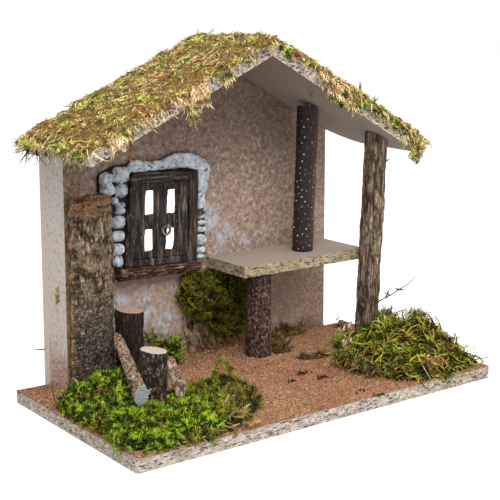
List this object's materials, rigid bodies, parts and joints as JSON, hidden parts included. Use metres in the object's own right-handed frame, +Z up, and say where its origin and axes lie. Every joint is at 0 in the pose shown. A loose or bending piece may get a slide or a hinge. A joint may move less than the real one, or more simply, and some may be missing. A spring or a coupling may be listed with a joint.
{
  "type": "nativity stable",
  "caption": "Rustic crib stable: chipboard hut on a sawdust floor, bark posts, loft shelf, small stone-framed window, wood stumps and moss on roof and ground",
  "frame": {"origin": "centre of the base board's underside", "axes": "+Z up, +X to the right along the open front, +Y towards the back wall"},
  "size_m": [0.3118, 0.1677, 0.2487],
  "materials": {
    "chipboard": "raw chipboard, pressed flakes",
    "painted_chipboard": "matte sponged earth colour",
    "sawdust": "glued coarse sawdust",
    "bark": "furrowed natural bark",
    "dark_bark": "dark natural bark, sawn ends",
    "split_wood": "weathered wood",
    "cast_stone": "cast resin painted as whitewashed stone",
    "dark_timber": "cast resin painted as dark timber",
    "ring_metal": "dull",
    "dry_moss": "dried natural moss",
    "green_moss": "preserved natural moss",
    "steel": "bright wire nail"
  },
  "bodies": {
    "root": {"base_board": "chipboard", "sawdust_ground": "sawdust", "back_wall": "painted_chipboard", "left_wall": "painted_chipboard", "roof_board_left": "chipboard", "roof_board_right": "chipboard", "loft_shelf": "chipboard", "front_post": "bark", "loft_post": "dark_bark", "loft_support_post": "dark_bark", "bark_slab": "bark", "stone_surround": "cast_stone", "window_frame": "dark_timber", "left_casement": "dark_timber", "right_casement": "dark_timber", "ring_pull": "ring_metal", "hinge_peg": "dark_timber", "window_sill": "dark_timber", "rear_stump": "dark_bark", "front_stump": "dark_bark", "left_log": "split_wood", "right_log": "split_wood", "roof_moss_left": "dry_moss", "roof_moss_right": "dry_moss", "ground_moss_left": "green_moss", "ground_moss_right": "green_moss", "wall_moss": "green_moss", "wall_foot_moss": "green_moss", "loft_foot_moss": "green_moss", "post_foot_moss": "green_moss", "floor_tuft": "green_moss", "moss_twig": "split_wood", "roof_stem": "split_wood", "bark_chip": "split_wood", "nail_wall_to_base_1": "steel", "nail_wall_to_base_2": "steel", "nail_wall_to_base_3": "steel", "nail_wall_to_base_4": "steel", "nail_wall_to_side_1": "steel", "nail_wall_to_side_2": "steel", "nail_base_to_side": "steel", "nail_wall_to_shelf_1": "steel", "nail_wall_to_shelf_2": "steel", "nail_base_to_support_post": "steel", "nail_shelf_to_support_post": "steel", "nail_shelf_to_loft_post": "steel", "nail_base_to_front_post": "steel", "nail_front_post_to_shelf": "steel", "nail_roof_to_side": "steel", "nail_left_roof_to_wall_1": "steel", "nail_left_roof_to_wall_2": "steel", "nail_right_roof_to_wall_1": "steel", "nail_right_roof_to_wall_2": "steel", "nail_roof_to_loft_post": "steel", "nail_roof_to_front_post": "steel", "nail_ridge_1": "steel", "nail_ridge_2": "steel"}
  },
  "joints": []
}
